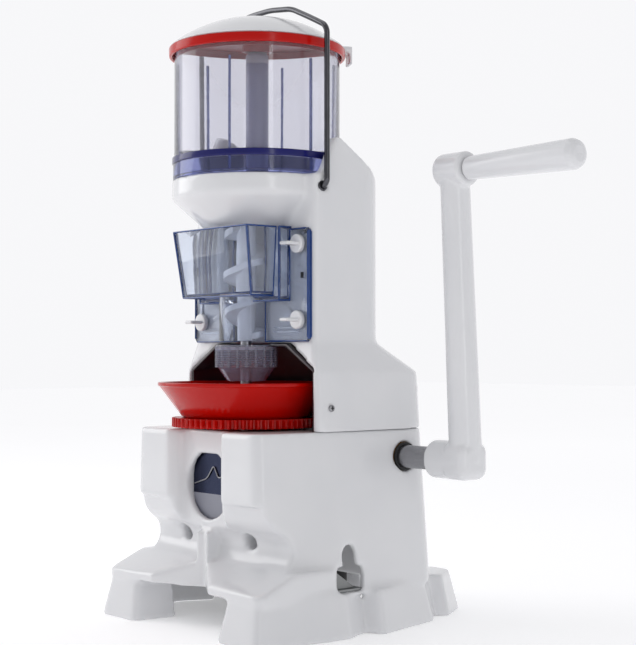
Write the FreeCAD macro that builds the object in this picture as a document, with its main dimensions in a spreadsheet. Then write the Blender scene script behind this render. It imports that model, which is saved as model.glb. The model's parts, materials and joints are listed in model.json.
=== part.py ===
import FreeCAD, Part
import math
import os
import Sketcher

# Hand-cranked shaved ice machine: a clear hopper on a white two-part housing, a screw feeder behind a
# clear chute, and a toothed bowl that the side crank turns through a bevel pair and a pinion.
# Frame: +X to the crank side, -Y to the front, +Z up, origin on the bench under the hopper axis.

V = FreeCAD.Vector
UP = V(0, 0, 1)
doc = FreeCAD.newDocument("shaved_ice_machine")
sheet = doc.addObject("Spreadsheet::Sheet", "sizes")

DRIVING = [
    # housing
    ("shell_wall", 4.5, "moulded wall of the housings"),
    ("skirt_top", 37, "height of the foot skirt"),
    ("skirt_draft", 7, "how far the skirt leans in over its height"),
    ("deck_top", 170, "top of the base block, under the bowl"),
    ("base_front", -69, "front face of the two lobes"),
    ("base_half", 88, "half width of the base block at the deck"),
    ("base_flare", 26, "how much wider each side is at the skirt"),
    ("base_back", 121, "back of the base block"),
    ("channel_half", 32, "half width of the channel between the lobes"),
    ("channel_back", -54, "back of that channel"),
    ("window_half", 29.5, "half width of the window"),
    ("window_top", 149, "flat top of the window"),
    ("window_low", 93, "bottom of the window's round end"),
    ("scoop_top", 106, "where each lobe starts to curve into its chute"),
    ("tunnel_half", 53, "half width between the front feet"),
    ("tunnel_top", 27, "ceiling between the front feet"),
    ("cheek_half", 98, "half width of the lower column"),
    ("cheek_front", -10, "front of the lower column"),
    ("cheek_top", 220, "where the shoulders start"),
    ("column_low", 246, "where the shoulders end"),
    ("column_half", 88, "half width of the column"),
    ("column_front", -5, "front face of the column"),
    ("column_back", 80, "back face of the column"),
    ("collar_top", 390, "top of the collar, where the hopper stands"),
    ("collar_side", 17, "height of the collar's upright side"),
    ("collar_under", 27, "height of the collar's tapered underside"),
    ("shield_rise", 32, "how far the side shields stand above the collar"),
    # hopper and lid
    ("hopper_radius", 75, "outer radius of the hopper's foot band"),
    ("hopper_wall", 3, "hopper wall"),
    ("hopper_height", 114, "height of the hopper"),
    ("hopper_step", 1, "how far the foot band stands out"),
    ("band_height", 14, "height of the foot band"),
    ("ring_height", 6, "height of the navy ring"),
    ("rib_count", 6, "inner ribs of the hopper"),
    ("rib_lead", 3, "angle of the first rib from the side, in degrees"),
    ("post_radius", 10, "central post"),
    ("post_wall", 2, "wall of the central post"),
    ("post_short", 16, "how far the central post stops below the hopper's rim"),
    ("lid_radius", 78, "rim of the lid"),
    ("lid_dome", 27, "height of the lid's dome above its rim"),
    ("lid_wall", 3, "wall of the lid"),
    ("lid_band", 8, "height of the red band under the rim"),
    ("wire_radius", 2.5, "bail wire"),
    ("bail_side", 92.5, "centre line of the bail's legs"),
    ("bail_pivot_y", 4, "bail pivot, front to back"),
    ("bail_pivot_drop", 11, "bail pivot below the collar's top"),
    ("bail_reach", 163, "bail pivot to the top of its arch"),
    # feed axis
    ("feed_y", -12, "axis of the bowl, nozzle and auger"),
    ("throat_radius", 22, "throat from the hopper to the auger"),
    ("auger_radius", 19, "auger flight"),
    ("auger_core", 8, "auger core"),
    ("auger_pitch", 30, "rise of one auger turn"),
    ("auger_low", 250, "bottom of the auger"),
    ("auger_top", 342, "top of the auger"),
    ("spindle_radius", 5, "spindle and lay shaft"),
    ("running_gap", 0.05, "radial clearance of shafts in bushes"),
    ("bush_radius", 8, "outer radius of the small bushes"),
    ("nozzle_top", 243.6, "top of the ribbed nozzle"),
    ("nozzle_tip", 212, "tip of the nozzle"),
    ("nozzle_radius", 28, "nozzle over its ribs"),
    # chute
    ("flange_half", 82, "half width of the chute's flange"),
    ("flange_low", 247, "bottom of the flange"),
    ("flange_top", 343, "top of the flange"),
    ("flange_thick", 4, "flange thickness"),
    ("chute_wall", 3, "chute wall"),
    ("chute_half", 54, "half width of the chute box at its top"),
    ("chute_low", 286, "bottom of the chute box"),
    ("chute_top", 345, "top of the chute box"),
    ("chute_front", -53, "front of the chute box at its top"),
    ("screw_x", 70, "thumb screws, from the middle"),
    ("screw_low", 265, "lower thumb screws"),
    ("screw_high", 330, "upper thumb screws"),
    # bowl and gears
    ("bowl_radius", 78, "rim of the bowl"),
    ("bowl_rim", 211, "height of the bowl's rim"),
    ("bowl_foot", 56, "radius of the bowl at its floor"),
    ("bowl_wall", 3, "bowl wall"),
    ("gear_module", 2, "module of the bowl ring and its pinion"),
    ("ring_teeth", 64, "teeth of the bowl ring"),
    ("pinion_teeth", 36, "teeth of the pinion"),
    ("gear_face", 8, "face width of ring and pinion"),
    ("gear_gap", 2, "bowl ring above the deck"),
    ("bevel_module", 1.5, "module of the bevel pair"),
    ("bevel_teeth", 20, "teeth of each bevel gear"),
    ("bevel_face", 5, "depth of the bevel teeth along the shaft"),
    # crank
    ("crank_z", 146, "height of the crank shaft"),
    ("shaft_radius", 10, "crank shaft"),
    ("crank_bush_wall", 2.6, "wall of the crank shaft's bushes"),
    ("shaft_end", 150, "outer end of the crank shaft"),
    ("hub_near", 138, "inner end of the crank hub"),
    ("hub_radius", 16.5, "crank hub and its elbow"),
    ("elbow_round", 9, "rounding of the elbow"),
    ("arm_x", 173, "middle of the crank arm"),
    ("arm_radius", 14, "crank arm"),
    ("crank_throw", 244, "shaft to grip"),
    ("crank_lean", 3, "how far the stored crank leans forward, in degrees"),
    ("grip_length", 117, "length of the grip"),
    ("grip_radius", 12.5, "grip at its outer end"),
]

for row, (alias, value, meaning) in enumerate(DRIVING, start=1):
    sheet.set("A%d" % row, meaning)
    sheet.set("B%d" % row, str(value))
    sheet.setAlias("B%d" % row, alias)
doc.recompute()


def size(alias):
    """The number that the sheet holds for a driving dimension."""
    return float(sheet.get(alias))


def bind(thing, prop, words):
    """Bind a property to an expression over the sheet, such as 'hopper_radius - hopper_wall'."""
    names = sorted((alias for alias, _, _ in DRIVING), key=len, reverse=True)
    out = []
    for word in words.replace("(", "( ").replace(")", " )").split():
        out.append("sizes." + word if word in names else word)
    thing.setExpression(prop, " ".join(out))


def place(thing, x="0", y="0", z="0", axis=None, degrees=0):
    if axis:
        thing.Placement = FreeCAD.Placement(V(), FreeCAD.Rotation(axis, degrees))
    for name, words in zip("xyz", (x, y, z)):
        bind(thing, "Placement.Base." + name, words)
    return thing


def label(thing, name):
    thing.Label = name
    nodes[name] = thing
    return thing


nodes = {}


def cylinder(radius, height, x="0", y="0", z="0", axis=None, degrees=0):
    thing = doc.addObject("Part::Cylinder", "rod")
    bind(thing, "Radius", radius)
    bind(thing, "Height", height)
    return place(thing, x, y, z, axis, degrees)


def block(length, width, height, x="0", y="0", z="0"):
    thing = doc.addObject("Part::Box", "block")
    bind(thing, "Length", length)
    bind(thing, "Width", width)
    bind(thing, "Height", height)
    return place(thing, x, y, z)


def fuse(*pieces):
    thing = doc.addObject("Part::MultiFuse", "joined")
    thing.Shapes = list(pieces)
    return thing


def cut(base, *tools):
    for tool in tools:
        thing = doc.addObject("Part::Cut", "cut")
        thing.Base = base
        thing.Tool = tool
        base = thing
    return base


def along_x(radius, length, x, y, z):
    return cylinder(radius, length, x, y, z, V(0, 1, 0), 90)


def group(name, pieces):
    """Identical small pieces that share one node."""
    thing = doc.addObject("Part::Compound", name)
    thing.Links = list(pieces)
    return label(thing, name)


def plane_of(body, role):
    return [item for item in body.Origin.OriginFeatures if item.Role == role][0]


def outline_sketch(body, plane, points):
    """A closed outline whose corners are held to (across, up) expressions from the origin."""
    sketch = body.newObject("Sketcher::SketchObject", "outline")
    sketch.AttachmentSupport = [(plane_of(body, plane), "")]
    sketch.MapMode = "FlatFace"
    count = len(points)
    turn = 2 * math.pi / count
    start = [V(100 + 50 * math.cos(i * turn), 100 + 50 * math.sin(i * turn), 0) for i in range(count)]
    for i in range(count):
        sketch.addGeometry(Part.LineSegment(start[i], start[(i + 1) % count]), False)
    for i in range(count):
        sketch.addConstraint(Sketcher.Constraint("Coincident", i, 2, (i + 1) % count, 1))
    for i, (across, up) in enumerate(points):
        for kind, words, value in (("DistanceX", across, start[i].x), ("DistanceY", up, start[i].y)):
            index = sketch.addConstraint(Sketcher.Constraint(kind, i, 1, value))
            bind(sketch, "Constraints[%d]" % index, words)
    return sketch


def turned(name, points, x="0", y="0", z="0"):
    """A piece turned about its upright axis from an outline of (radius, height) points."""
    body = doc.addObject("PartDesign::Body", name)
    sketch = outline_sketch(body, "XZ_Plane", points)
    turn = body.newObject("PartDesign::Revolution", "turn")
    turn.Profile = sketch
    turn.ReferenceAxis = (sketch, ["V_Axis"])
    turn.Angle = 360
    sketch.Visibility = False
    place(body, x, y, z)
    return label(body, name)


def shaped(name, shape):
    """A piece whose shape neither a sketch nor a primitive gives."""
    thing = doc.addObject("Part::Feature", name)
    thing.Shape = shape
    return label(thing, name)


def rounded_outline(corners, z):
    """Closed wire at height z; each corner is (x, y, radius)."""
    count = len(corners)
    ends = []
    for i, (x, y, radius) in enumerate(corners):
        corner = V(x, y, z)
        before = (V(corners[i - 1][0], corners[i - 1][1], z) - corner).normalize()
        after = corners[(i + 1) % count]
        after = (V(after[0], after[1], z) - corner).normalize()
        half = before.getAngle(after) / 2
        middle = (before + after).normalize()
        centre = corner + middle * (radius / math.sin(half))
        reach = radius / math.tan(half)
        ends.append((corner + before * reach, centre - middle * radius, corner + after * reach))
    edges = []
    for i, (first, middle, last) in enumerate(ends):
        edges.append(Part.Arc(first, middle, last).toShape())
        edges.append(Part.makeLine(last, ends[(i + 1) % count][0]))
    return Part.Wire(edges)


def both_sides(right):
    return right + [(-x, y, radius) for x, y, radius in reversed(right)]


def tower(sections):
    """Solid through outlines [(corners of the right half, height), ...], straight between them."""
    wires = [rounded_outline(both_sides(corners), z) for corners, z in sections]
    return Part.makeLoft(wires, True, True)


def slab(points, plane, start, depth):
    """Straight-sided solid from an outline in the XZ or YZ plane, from start over depth."""
    if plane == "XZ":
        corners = [V(a, start, b) for a, b in points]
        sweep = V(0, depth, 0)
    else:
        corners = [V(start, a, b) for a, b in points]
        sweep = V(depth, 0, 0)
    return Part.Face(Part.makePolygon(corners + corners[:1])).extrude(sweep)


def rod(radius, start, end):
    return Part.makeCylinder(radius, (end - start).Length, start, end - start)


def mirrored(shape):
    return shape.mirror(V(), V(1, 0, 0))


# Places that several pieces share
feed = size("feed_y")
deck = size("deck_top")
wall = size("shell_wall")
lay_y = feed + size("gear_module") * (size("ring_teeth") + size("pinion_teeth")) / 2
LAY_Y = "feed_y + gear_module * ( ring_teeth + pinion_teeth ) / 2"
crank_z = size("crank_z")
bush = size("bush_radius")
fit = size("running_gap")
crank_bush = size("shaft_radius") + size("crank_bush_wall")
HOPPER_TOP = "collar_top + hopper_height"
collar = size("collar_top")
front = size("base_front")
frame_x = 34
bracket_y = 15


# Base block: two front lobes, a window between them, a chute scooped out under each lobe, foot skirt
def base_half_outline(inset, spread, forward):
    half = size("base_half") + spread * 0.15 - inset
    side = size("base_half") + 9 + spread * 0.65 - inset
    rear = size("base_half") + 10 + spread * 0.25 - inset
    back = size("base_back") + spread * 0.15 - inset
    return [(half, forward, 12), (side, 4, 30), (rear, back, 25)]


def skirt_half_outline(inset):
    tip = front - 21 + inset
    return [
        (54 + inset, front + 20, 2),
        (61 + inset, tip, 5),
        (116 - inset, tip, 6),
        (124 - inset, 2, 5),
        (111 - inset, 31, 2),
        (127 - inset, 38, 4),
        (109 - inset, 113 - inset, 5),
        (91 - inset * 0.6, 132 - inset * 0.6, 3),
        (99 - inset, 142 - inset * 0.4, 4),
        (77 - inset, 178 - inset, 6),
        (40 + inset, 178 - inset, 6),
        (36 + inset, 128 - inset, 4),
    ]


def scoop_cutter():
    """The space of one discharge chute: an S-shaped back wall swept outward and a little back."""
    top = size("scoop_top")
    inner = 8
    sweep = V(132, 12, 0)
    points = [
        (front, top + 4), (front + 5, top - 11), (front + 14, top - 19),
        (front + 21, top - 26), (front + 23, top - 35), (front + 20, top - 43), (front + 10, top - 50),
    ]
    edge = [V(inner, y, z) for y, z in points]
    floor = [V(inner, front - 22, size("skirt_top") + 5), V(inner, front - 90, size("skirt_top") + 5)]
    roof = V(inner, front - 90, top + 4)
    lines = [
        Part.Arc(edge[0], edge[1], edge[2]).toShape(),
        Part.Arc(edge[2], edge[3], edge[4]).toShape(),
        Part.Arc(edge[4], edge[5], edge[6]).toShape(),
        Part.makeLine(edge[6], floor[0]),
        Part.makeLine(floor[0], floor[1]),
        Part.makeLine(floor[1], roof),
        Part.makeLine(roof, edge[0]),
    ]
    return Part.Face(Part.Wire(lines)).extrude(sweep)


def keyhole_cutter():
    low = size("skirt_top") - 1
    wide = Part.makeBox(60, 30, 21, V(80, bracket_y - 15, low))
    slot = Part.makeBox(60, 14.5, 32, V(80, bracket_y - 7.25, low))
    crown = rod(7.25, V(80, bracket_y, low + 32), V(140, bracket_y, low + 32))
    return wide.fuse([slot, crown])


def window_cutter():
    """A round window with a flat top."""
    half = size("window_half")
    low = size("window_low")
    depth = V(0, 40, 0)
    start = V(0, size("channel_back") - 20, low + half)
    box = Part.makeBox(2 * half, depth.y, size("window_top") - low, V(-half, start.y, low))
    return rod(half, start, start + depth).common(box)


def base_housing():
    flare = size("base_flare")
    skirt = size("skirt_top")
    body = tower([(base_half_outline(0, flare, front), skirt - 3), (base_half_outline(0, 0, front), deck)])
    body = body.fuse(tower([(skirt_half_outline(0), 0), (skirt_half_outline(size("skirt_draft")), skirt)]))
    apron = [(113, front - 15, 8), (113, 0, 8)]
    body = body.fuse(tower([(apron, skirt - 2), (apron, skirt + 20)]))
    fork = [V(-66, front - 31, -5), V(0, size("channel_back") - 2, -5), V(66, front - 31, -5)]
    body = body.cut(Part.Face(Part.makePolygon(fork + fork[:1])).extrude(V(0, 0, skirt + 52)))
    half = size("channel_half")
    mouth = half + 7
    channel = [(mouth, front - 40, 4), (mouth, front + 1, 5), (half, front + 8, 6), (half, size("channel_back"), 5)]
    body = body.cut(tower([(channel, skirt + 45), (channel, deck + 1)]))
    scoop = scoop_cutter()
    body = body.cut([scoop, mirrored(scoop), window_cutter()])
    inner_front = size("channel_back") + 37
    hollow_low = base_half_outline(wall, flare, inner_front)
    hollow_high = base_half_outline(wall, 0, inner_front)
    body = body.cut(tower([(hollow_low, -1), (hollow_high, deck - wall)]))
    sill = size("window_low") - 8
    behind_window = Part.makeBox(60, 60, deck - wall - sill, V(-30, size("channel_back") + 6, sill))
    body = body.cut([behind_window, Part.makeCylinder(33.5, deck - wall + 1, V(0, feed, -1))])
    body = body.cut(tower([(skirt_half_outline(wall), -1),
                           (skirt_half_outline(wall + size("skirt_draft")), skirt - wall)]))
    half = size("tunnel_half")
    body = body.cut(Part.makeBox(2 * half, 300, size("tunnel_top") + 1, V(-half, -120, -1)))
    key = keyhole_cutter()
    body = body.cut([key, mirrored(key)])
    for side in (1, -1):
        hole = rod(7, V(side * 46, front - 1, 77), V(side * 46, 0, 77))
        body = body.cut(hole)
    body = body.cut(rod(crank_bush, V(60, lay_y, crank_z), V(130, lay_y, crank_z)))
    body = body.cut([rod(bush, V(0, feed, deck - 20), V(0, feed, deck + 5)),
                     rod(bush, V(0, lay_y, deck - 20), V(0, lay_y, deck + 5))])
    return body


# Column: cheeks beside the bowl, shoulders, upright column, tapered collar and side shields
def opening_points(inset):
    half = size("cheek_half") - 5 - inset
    top = size("column_low") - 1 - inset
    shoulder = size("cheek_top") - inset * 0.4
    narrow = 52 - inset * 0.6
    low = deck - 10
    return [(-half, low), (-half, shoulder), (-narrow, top), (narrow, top), (half, shoulder), (half, low)]


def pocket(inset, radius):
    """The space around the bowl: the front opening run back to a round rear wall."""
    opening = slab(opening_points(inset), "XZ", -130, 300)
    return opening.common(rod(radius, V(0, feed, deck - 10), V(0, feed, deck + 100)))


def column_half_outline(inset):
    return [(size("column_half") - inset, size("column_front") + inset, 5),
            (size("column_half") - inset, size("column_back") - inset, 30 - inset)]


def cheek_half_outline(inset, drop):
    half = size("cheek_half") - drop - inset
    return [(half, size("cheek_front") + inset, 5), (half, size("base_back") - drop - inset, 25 - inset)]


def column_housing():
    low = size("column_low")
    shoulder = size("cheek_top")
    body = tower([(cheek_half_outline(0, 0), deck), (cheek_half_outline(0, 2), shoulder),
                  (column_half_outline(0), low), (column_half_outline(0), collar)])
    side = collar - size("collar_side")
    under = side - size("collar_under")
    cone = Part.makeCone(46, size("hopper_radius") + 1, side - under, V(0, 0, under))
    body = body.fuse([cone, Part.makeCylinder(size("hopper_radius") + 1, collar - side, V(0, 0, side))])
    shield = tower([(column_half_outline(0), collar - 1), (column_half_outline(0), collar + 40)])
    rise = collar + size("shield_rise")
    back = size("column_back")
    slope = [(0, collar - 2), (2, collar), (17, rise), (24, rise), (back, collar - 4), (back, collar - 40),
             (0, collar - 40)]
    shield = shield.common(slab(slope, "YZ", -120, 240))
    shield = shield.cut(Part.makeCylinder(size("hopper_radius") + 4, 60, V(0, 0, collar)))
    trim = slab([(24, rise + 2), (back + 10, rise + 2), (back + 10, collar - 10), (back, collar - 4), (24, rise)],
                "YZ", -120, 240)
    body = body.fuse(shield).cut(trim)
    body = body.cut(pocket(0, 90))
    rear = tower([(cheek_half_outline(wall, 0), deck - 1), (cheek_half_outline(wall, 2), shoulder)])
    body = body.cut(rear.cut(rod(94, V(0, feed, deck - 10), V(0, feed, deck + 100))))
    throat = size("throat_radius") + 2.5
    hollow = tower([(column_half_outline(wall), low + 4), (column_half_outline(wall), collar - 22)])
    body = body.cut(hollow.cut(rod(throat + 3, V(0, feed, low), V(0, feed, collar))))
    body = body.cut(rod(throat, V(0, feed, low - 10), V(0, feed, size("chute_top") + 2)))
    bar = Part.makeBox(80, 10, 10, V(-40, -5, collar - 10))
    body = body.cut(rod(size("throat_radius"), V(0, feed, low), V(0, feed, collar + 1)).cut(bar))
    body = body.cut(Part.makeBox(110, 40, 90, V(-55, back - 20, 262)))
    body = body.cut(Part.makeBox(108, 40, 34, V(-54, size("base_back") - 24, deck + 4)))
    body = body.cut(Part.makeBox(2 * pinion_room, 70, size("gear_face") + 5, V(-pinion_room, 60, deck - 1)))
    pivot = V(0, size("bail_pivot_y"), collar - size("bail_pivot_drop"))
    body = body.cut(rod(4.5, pivot - V(120, 0, 0), pivot - V(78, 0, 0)))
    body = body.cut(rod(4.5, pivot + V(78, 0, 0), pivot + V(120, 0, 0)))
    for x in (-size("screw_x"), size("screw_x")):
        for z in (size("screw_low"), size("screw_high")):
            body = body.cut(rod(2.6, V(x, -20, z), V(x, 12, z)))
    return body


pinion_room = size("gear_module") * (size("pinion_teeth") / 2 + 1) + 3


def gear_outline(teeth, module, add, ded, phase, z, scale=1.0):
    """Straight-sided teeth; phase is the direction of a tooth's middle, in degrees."""
    pitch = 360.0 / teeth
    radius = module * teeth / 2.0
    points = []
    for i in range(teeth):
        middle = phase + i * pitch
        for part, offset in ((-ded, -0.33), (add, -0.12), (add, 0.12), (-ded, 0.33)):
            angle = math.radians(middle + offset * pitch)
            reach = (radius + part) * scale
            points.append(V(reach * math.cos(angle), reach * math.sin(angle), z))
    return Part.makePolygon(points + points[:1])


def spur(teeth, phase, y, low, bore):
    module = size("gear_module")
    wire = gear_outline(teeth, module, 0.8 * module, 1.2 * module, phase, low)
    disc = Part.Face(wire).extrude(V(0, 0, size("gear_face")))
    disc = disc.cut(Part.makeCylinder(bore, 40, V(0, 0, low - 10)))
    disc.translate(V(0, y, 0))
    return disc


def bevel(phase):
    """One mitre gear about +Z with its apex at the origin and its teeth below the apex."""
    module = size("bevel_module")
    teeth = int(size("bevel_teeth"))
    pitch_radius = module * teeth / 2.0
    small = (pitch_radius - size("bevel_face")) / pitch_radius
    big = gear_outline(teeth, module, 1.2 * module, 1.6 * module, phase, -pitch_radius)
    tip = gear_outline(teeth, module, 1.2 * module, 1.6 * module, phase, -pitch_radius * small, small)
    cone = Part.makeLoft([big, tip], True, True)
    hub = Part.makeCylinder(pitch_radius * 0.72, 9, V(0, 0, -pitch_radius - 9))
    return cone.fuse(hub).removeSplitter()


shaped("base_housing", base_housing())
shaped("column_housing", column_housing())

liner = pocket(0.4, 89.6).cut(pocket(3, 87))
liner = liner.common(Part.makeBox(220, 220, 200, V(-110, size("cheek_front") + 2, deck + 0.3)))
liner = liner.cut(Part.makeBox(2 * pinion_room, 60, size("gear_face") + 5, V(-pinion_room, 50, deck - 1)))
liner = liner.cut(rod(size("nozzle_radius") + 2, V(0, feed, deck + 20), V(0, feed, deck + 100)))
shaped("splash_liner", liner)


# Rear covers and their screws
def rear_cover():
    back = size("column_back")
    plate = Part.makeBox(122, 3, 102, V(-61, back + 0.05, 256))
    return plate.makeFillet(6, [e for e in plate.Edges if abs(e.tangentAt(0).y) > 0.9])


def gear_cover():
    back = size("base_back")
    outer = Part.makeBox(132, 14, 44, V(-66, back + 0.05, deck - 1))
    outer = outer.makeFillet(8, [e for e in outer.Edges if abs(e.tangentAt(0).y) > 0.9])
    return outer.cut(Part.makeBox(112, 11.5, 39.5, V(-56, back - 1, deck + 0.5)))


shaped("rear_cover", rear_cover())
shaped("gear_cover", gear_cover())
SCREW_ROWS = [
    (53, "column_back + 3.05", 262), (53, "column_back + 3.05", 352),
    (61, "base_back + 14.05", 176), (61, "base_back + 14.05", 208),
]
group("cover_screws", [cylinder("3", "2.4", str(side * x), y, str(z), V(1, 0, 0), -90)
                       for x, y, z in SCREW_ROWS for side in (1, -1)])
group("cheek_screws", [along_x("3", "2", x, "4", "190") for x in ("cheek_half - 0.6", "- cheek_half - 1.4")])

# Gear frame under the deck, bushes, seal
frame = Part.makeBox(6, 44, deck - wall - 98, V(frame_x, lay_y - 22, 98))
frame = frame.fuse(Part.makeBox(frame_x + 24, 44, 5, V(-24, lay_y - 22, 98)))
frame = frame.fuse(Part.makeBox(26, 44, 4, V(frame_x, lay_y - 22, deck - wall - 4)))
frame = frame.cut(rod(crank_bush, V(frame_x - 5, lay_y, crank_z), V(frame_x + 10, lay_y, crank_z)))
frame = frame.cut(rod(bush, V(0, lay_y, 90), V(0, lay_y, 110)))
frame = frame.cut(rod(2.6, V(frame_x + 16, lay_y - 14, 150), V(frame_x + 16, lay_y - 14, 180)))
frame = frame.cut(rod(2.6, V(frame_x + 16, lay_y + 14, 150), V(frame_x + 16, lay_y + 14, 180)))
shaped("gear_frame", frame)


def bush_at(x, y, low, length):
    return cut(cylinder("bush_radius", length, x, y, low),
               cylinder("spindle_radius + running_gap", "60", x, y, low + " - 10"))


def crank_bush_at(x, length):
    return cut(along_x("shaft_radius + crank_bush_wall", length, x, LAY_Y, "crank_z"),
               along_x("shaft_radius + running_gap", "80", x + " - 10", LAY_Y, "crank_z"))


group("lay_bushes", [bush_at("0", LAY_Y, "98", "5"), bush_at("0", LAY_Y, "deck_top - shell_wall", "shell_wall")])
group("spindle_bushes", [bush_at("0", "feed_y", "58", "6"),
                         bush_at("0", "feed_y", "deck_top - shell_wall", "shell_wall + 1")])
group("crank_bushes", [crank_bush_at(str(frame_x), "6"), crank_bush_at("base_half + 3", "6.5")])
label(cut(along_x("shaft_radius + crank_bush_wall - 0.2", "2.5", "base_half + 9.5", LAY_Y, "crank_z"),
          along_x("shaft_radius + running_gap", "20", "base_half + 8", LAY_Y, "crank_z")), "shaft_seal")

# Plate behind the window, bearing can behind the plate, wire clip round the can
plate_half = size("window_half") - 0.5
plate_low = size("window_low") - 5
window_plate = Part.makeBox(2 * plate_half, 1.2, deck - wall - 8 - plate_low,
                            V(-plate_half, size("channel_back") + 6.02, plate_low))
shaped("window_plate", window_plate)
turned("bearing_can", [
    ("bush_radius", "58"), ("32", "58"), ("32", "deck_top - shell_wall"), ("28.5", "deck_top - shell_wall"),
    ("28.5", "64"), ("bush_radius", "64")], y="feed_y")
shaped("can_clip", Part.makeTorus(32.6, 0.6, V(0, feed, 112), UP))


def bracket(side):
    """Steel foot bracket inside a keyhole: a foot with an anchor hole, and a gusset."""
    low = size("skirt_top") - 1
    foot = Part.makeBox(26, 29, 2.5, V(82, bracket_y - 14.5, low))
    gusset = slab([(bracket_y - 14.5, low), (bracket_y + 14.5, low), (bracket_y - 14.5, low + 20)], "YZ", 99, 2.5)
    plate = foot.fuse(gusset).cut(rod(3.3, V(90, bracket_y, 0), V(90, bracket_y, 80)))
    return plate if side > 0 else mirrored(plate)


shaped("anchor_bracket_right", bracket(1))
shaped("anchor_bracket_left", bracket(-1))

# Foot pads inside the corners of the skirt
PADS = [("88", "base_front - 1"), ("-88", "base_front - 1"), ("64", "base_back + 32"), ("-64", "base_back + 32")]
group("foot_pads", [cylinder("7", "skirt_top - shell_wall", x, y, "0") for x, y in PADS])


# Chute: flange on the column, open-topped box, half tube round the auger
def clear_chute():
    wide = size("flange_half")
    low = size("flange_low")
    top = size("flange_top")
    face = size("column_front") - 0.05
    thick = size("flange_thick")
    sheet_wall = size("chute_wall")
    flange = Part.makeBox(2 * wide, thick, top - low, V(-wide, face - thick, low))
    flange = flange.makeFillet(3, [e for e in flange.Edges if abs(e.tangentAt(0).y) > 0.9])
    tilt = 4
    step_y = face - 16

    def box_shell(half, nose, inset, bottom, start):
        upper = [V(-half + inset, nose + inset, 0), V(half - inset, nose + inset, 0),
                 V(half - inset, start, 0), V(-half + inset, start, 0)]
        wires = []
        for z, lean in ((bottom, tilt), (size("chute_top") + (1 if inset else 0), 0)):
            corners = [V(p.x * (1 - lean / half), p.y + (lean * 2 if p.y < start else 0), z) for p in upper]
            wires.append(Part.makePolygon(corners + corners[:1]))
        return Part.makeLoft(wires, True, True)

    half = size("chute_half")
    nose = size("chute_front")
    bottom = size("chute_low")
    box = box_shell(half, nose, 0, bottom, face - thick + 1)
    step = Part.makeBox(2 * half + 8, 13, size("chute_top") - bottom + 4, V(-half - 4, step_y, bottom - 4))
    tube_radius = size("throat_radius") + 2
    tube = Part.makeCylinder(tube_radius, bottom - low + 2, V(0, feed, low))
    whole = flange.fuse([box, step, tube])
    hollow = box_shell(half, nose, sheet_wall, bottom + sheet_wall, face + 1)
    hollow = hollow.fuse(Part.makeBox(2 * half + 8 - 2 * sheet_wall, 13 - sheet_wall + 5, 90,
                                      V(-half - 4 + sheet_wall, step_y + sheet_wall, bottom - 1)))
    keep = Part.makeBox(300, 30, 200, V(-150, face - thick, low - 20))
    hollow = hollow.cut(keep)
    bore = Part.makeCylinder(tube_radius - 2, bottom - low + 20, V(0, feed, low - 5))
    whole = whole.cut([hollow, bore])
    whole = whole.cut(Part.makeBox(300, 60, 200, V(-150, face, low - 20)))
    whole = whole.cut(Part.makeCylinder(tube_radius - 2, 200, V(0, feed, low - 5)))
    for x in (-size("screw_x"), size("screw_x")):
        for z in (size("screw_low"), size("screw_high")):
            whole = whole.cut(rod(2.6, V(x, -30, z), V(x, 0, z)))
    return whole


shaped("clear_chute", clear_chute())


# Ribbed nozzle: fluted outside, threaded look of stacked rings, tapered tip
def ribbed_nozzle():
    top = size("nozzle_top")
    tip = size("nozzle_tip")
    outer = size("nozzle_radius")
    inner = size("throat_radius") - 1
    waist = tip + 12
    body = Part.makeCylinder(outer - 1.5, top - waist, V(0, feed, waist))
    body = body.fuse(Part.makeCone(inner - 4, outer - 1.5, waist - tip, V(0, feed, tip)))
    flutes = 18
    for i in range(flutes):
        angle = 2 * math.pi * i / flutes
        centre = V((outer - 2) * math.cos(angle), feed + (outer - 2) * math.sin(angle), waist)
        body = body.fuse(Part.makeCylinder(2, top - waist - 1.5, centre))
    bore = Part.makeCylinder(inner, top - waist + 1, V(0, feed, waist))
    bore = bore.fuse(Part.makeCone(inner - 7, inner, waist - tip, V(0, feed, tip)))
    return body.cut(bore)


shaped("ribbed_nozzle", ribbed_nozzle())

# Hopper, ring, post
hopper_outline = [
    ("hopper_radius - 8", "collar_top"), ("hopper_radius", "collar_top"),
    ("hopper_radius", "collar_top + band_height"),
    ("hopper_radius - hopper_step", "collar_top + band_height"),
    ("hopper_radius - hopper_step", HOPPER_TOP),
    ("hopper_radius - hopper_step - hopper_wall", HOPPER_TOP),
    ("hopper_radius - hopper_step - hopper_wall", "collar_top + 3"),
    ("hopper_radius - 8", "collar_top + 3"),
]
jar = turned("hopper_jar", hopper_outline)
del nodes["hopper_jar"]
ribs = []
for i in range(int(size("rib_count"))):
    rib = block("2.4", "4", "hopper_height - 17", "hopper_radius - hopper_step - hopper_wall - 1.4", "-2",
                "collar_top + 3")
    arm = doc.addObject("Part::Compound", "rib_arm")
    arm.Links = [rib]
    arm.Placement = FreeCAD.Placement(V(), FreeCAD.Rotation(UP, size("rib_lead") + i * 360.0 / size("rib_count")))
    ribs.append(arm)
label(fuse(jar, *ribs), "hopper")
turned("hopper_ring", [
    ("hopper_radius - hopper_step + running_gap", "collar_top + band_height"),
    ("hopper_radius + 0.8", "collar_top + band_height"),
    ("hopper_radius + 0.8", "collar_top + band_height + ring_height"),
    ("hopper_radius - hopper_step + running_gap", "collar_top + band_height + ring_height")])
turned("centre_post", [
    ("post_radius - post_wall", "collar_top"), ("post_radius", "collar_top"),
    ("post_radius", "collar_top + hopper_height - post_short"), ("post_radius - post_wall", "collar_top + hopper_height - post_short")])
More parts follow.
